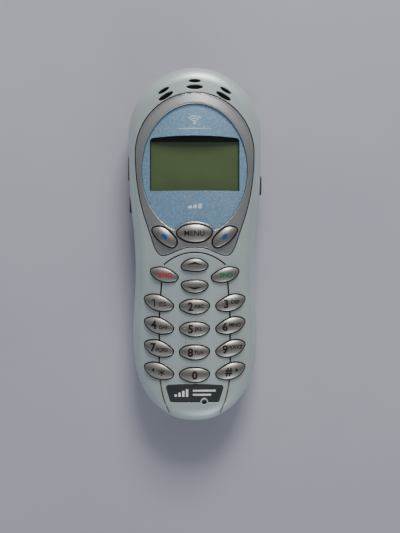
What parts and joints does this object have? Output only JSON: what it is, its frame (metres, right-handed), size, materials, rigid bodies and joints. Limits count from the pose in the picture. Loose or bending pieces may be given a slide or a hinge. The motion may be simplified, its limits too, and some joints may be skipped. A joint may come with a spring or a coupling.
{
  "type": "mobile phone",
  "caption": "Candy-bar mobile phone with a waisted case, teardrop display bezel, domed keys, pull-out antenna and a battery door on its back.",
  "frame": {"origin": "on the table, under the middle of the case's outline, with the phone lying on its back", "axes": "+X to the phone's right, +Y to the earpiece end, +Z out of the face"},
  "size_m": [0.047, 0.122, 0.0231],
  "materials": {
    "case_paint": "painted satin",
    "bezel_silver": "metallic silver paint",
    "clear_lens": "clear moulded acrylic",
    "blue_print": "metal-flake print",
    "badge_grey": "satin",
    "black_plastic": "matte",
    "lcd_glass": "reflective olive",
    "grey_plastic": "matte",
    "board_green": "solder mask",
    "dome_film": "film",
    "mat_rubber": "silicone",
    "speaker_metal": "satin",
    "black_mesh": "woven",
    "black_rubber": "matte",
    "white_plastic": "matte",
    "brass": "turned",
    "switch_metal": "satin",
    "jack_plastic": "matte",
    "shield_metal": "tin plate",
    "motor_metal": "satin",
    "battery_shell": "matte",
    "gold_contact": "gold plate",
    "screw_steel": "black zinc",
    "dark_plastic": "matte",
    "whip_steel": "bright",
    "side_rubber": "matte",
    "key_silver": "metallic lacquer"
  },
  "bodies": {
    "housing": {"front_housing": "case_paint", "rear_housing": "case_paint", "lens_bezel": "bezel_silver", "display_lens": "clear_lens", "lens_print": "blue_print", "badge_plate": "badge_grey", "display_shroud": "black_plastic", "lcd_panel": "lcd_glass", "display_carrier": "grey_plastic", "main_board": "board_green", "dome_sheet": "dome_film", "keypad_mat": "mat_rubber", "earpiece_speaker": "speaker_metal", "earpiece_mesh": "black_mesh", "microphone": "speaker_metal", "microphone_boot": "black_rubber", "antenna_guide": "white_plastic", "antenna_bush": "brass", "volume_switch_up": "switch_metal", "volume_switch_down": "switch_metal", "smart_switch": "switch_metal", "voice_switch": "switch_metal", "headset_jack": "jack_plastic", "accessory_connector": "jack_plastic", "shield_can_logic": "shield_metal", "shield_can_radio": "shield_metal", "ringer": "black_plastic", "vibration_motor": "motor_metal", "battery_pack": "battery_shell", "battery_contacts": "gold_contact", "housing_screw_1": "screw_steel", "housing_screw_2": "screw_steel", "housing_screw_3": "screw_steel", "housing_screw_4": "screw_steel"},
    "door": {"battery_door": "case_paint"},
    "latch": {"door_latch": "dark_plastic"},
    "antenna": {"antenna_whip": "whip_steel", "antenna_knob": "dark_plastic"},
    "volume_rocker": {"volume_key": "side_rubber"},
    "smart_button": {"smart_key": "side_rubber"},
    "voice_button": {"voice_key": "side_rubber"},
    "key_menu_body": {"key_menu": "key_silver"},
    "key_soft_left_body": {"key_soft_left": "key_silver"},
    "key_soft_right_body": {"key_soft_right": "key_silver"},
    "key_up_body": {"key_up": "key_silver"},
    "key_down_body": {"key_down": "key_silver"},
    "key_end_body": {"key_end": "key_silver"},
    "key_send_body": {"key_send": "key_silver"},
    "key_1_body": {"key_1": "key_silver"},
    "key_2_body": {"key_2": "key_silver"},
    "key_3_body": {"key_3": "key_silver"},
    "key_4_body": {"key_4": "key_silver"},
    "key_5_body": {"key_5": "key_silver"},
    "key_6_body": {"key_6": "key_silver"},
    "key_7_body": {"key_7": "key_silver"},
    "key_8_body": {"key_8": "key_silver"},
    "key_9_body": {"key_9": "key_silver"},
    "key_star_body": {"key_star": "key_silver"},
    "key_0_body": {"key_0": "key_silver"},
    "key_hash_body": {"key_hash": "key_silver"}
  },
  "joints": [
    {"name": "key_menu_press", "type": "slide", "parent": "housing", "child": "key_menu_body", "axis": [0, 0, -1], "range_m": [0, 0.0005], "stiffness_N_per_m": 3000},
    {"name": "key_soft_left_press", "type": "slide", "parent": "housing", "child": "key_soft_left_body", "axis": [0, 0, -1], "range_m": [0, 0.0005], "stiffness_N_per_m": 3000},
    {"name": "key_soft_right_press", "type": "slide", "parent": "housing", "child": "key_soft_right_body", "axis": [0, 0, -1], "range_m": [0, 0.0005], "stiffness_N_per_m": 3000},
    {"name": "key_up_press", "type": "slide", "parent": "housing", "child": "key_up_body", "axis": [0, 0, -1], "range_m": [0, 0.0005], "stiffness_N_per_m": 3000},
    {"name": "key_down_press", "type": "slide", "parent": "housing", "child": "key_down_body", "axis": [0, 0, -1], "range_m": [0, 0.0005], "stiffness_N_per_m": 3000},
    {"name": "key_end_press", "type": "slide", "parent": "housing", "child": "key_end_body", "axis": [0, 0, -1], "range_m": [0, 0.0005], "stiffness_N_per_m": 3000},
    {"name": "key_send_press", "type": "slide", "parent": "housing", "child": "key_send_body", "axis": [0, 0, -1], "range_m": [0, 0.0005], "stiffness_N_per_m": 3000},
    {"name": "key_1_press", "type": "slide", "parent": "housing", "child": "key_1_body", "axis": [0, 0, -1], "range_m": [0, 0.0005], "stiffness_N_per_m": 3000},
    {"name": "key_2_press", "type": "slide", "parent": "housing", "child": "key_2_body", "axis": [0, 0, -1], "range_m": [0, 0.0005], "stiffness_N_per_m": 3000},
    {"name": "key_3_press", "type": "slide", "parent": "housing", "child": "key_3_body", "axis": [0, 0, -1], "range_m": [0, 0.0005], "stiffness_N_per_m": 3000},
    {"name": "key_4_press", "type": "slide", "parent": "housing", "child": "key_4_body", "axis": [0, 0, -1], "range_m": [0, 0.0005], "stiffness_N_per_m": 3000},
    {"name": "key_5_press", "type": "slide", "parent": "housing", "child": "key_5_body", "axis": [0, 0, -1], "range_m": [0, 0.0005], "stiffness_N_per_m": 3000},
    {"name": "key_6_press", "type": "slide", "parent": "housing", "child": "key_6_body", "axis": [0, 0, -1], "range_m": [0, 0.0005], "stiffness_N_per_m": 3000},
    {"name": "key_7_press", "type": "slide", "parent": "housing", "child": "key_7_body", "axis": [0, 0, -1], "range_m": [0, 0.0005], "stiffness_N_per_m": 3000},
    {"name": "key_8_press", "type": "slide", "parent": "housing", "child": "key_8_body", "axis": [0, 0, -1], "range_m": [0, 0.0005], "stiffness_N_per_m": 3000},
    {"name": "key_9_press", "type": "slide", "parent": "housing", "child": "key_9_body", "axis": [0, 0, -1], "range_m": [0, 0.0005], "stiffness_N_per_m": 3000},
    {"name": "key_star_press", "type": "slide", "parent": "housing", "child": "key_star_body", "axis": [0, 0, -1], "range_m": [0, 0.0005], "stiffness_N_per_m": 3000},
    {"name": "key_0_press", "type": "slide", "parent": "housing", "child": "key_0_body", "axis": [0, 0, -1], "range_m": [0, 0.0005], "stiffness_N_per_m": 3000},
    {"name": "key_hash_press", "type": "slide", "parent": "housing", "child": "key_hash_body", "axis": [0, 0, -1], "range_m": [0, 0.0005], "stiffness_N_per_m": 3000},
    {"name": "volume_rock", "type": "hinge", "parent": "housing", "child": "volume_rocker", "pos_m": [-0.0216, 0.027, 0.0091], "axis": [0, 0, 1], "range_deg": [-2.3, 2.3], "stiffness_Nm_per_rad": 0.05},
    {"name": "smart_key_press", "type": "slide", "parent": "housing", "child": "smart_button", "axis": [1, 0, 0], "range_m": [0, 0.0004], "stiffness_N_per_m": 3000},
    {"name": "voice_key_press", "type": "slide", "parent": "housing", "child": "voice_button", "axis": [-1, 0, 0], "range_m": [0, 0.0004], "stiffness_N_per_m": 3000},
    {"name": "antenna_pull", "type": "slide", "parent": "housing", "child": "antenna", "axis": [0, 1, 0], "range_m": [0, 0.0655]},
    {"name": "door_hinge", "type": "hinge", "parent": "housing", "child": "door", "pos_m": [0, 0.0193, 0.00075], "axis": [1, 0, 0], "range_deg": [0, 40]},
    {"name": "latch_slide", "type": "slide", "parent": "housing", "child": "latch", "axis": [0, -1, 0], "range_m": [0, 0.0015], "stiffness_N_per_m": 500}
  ]
}
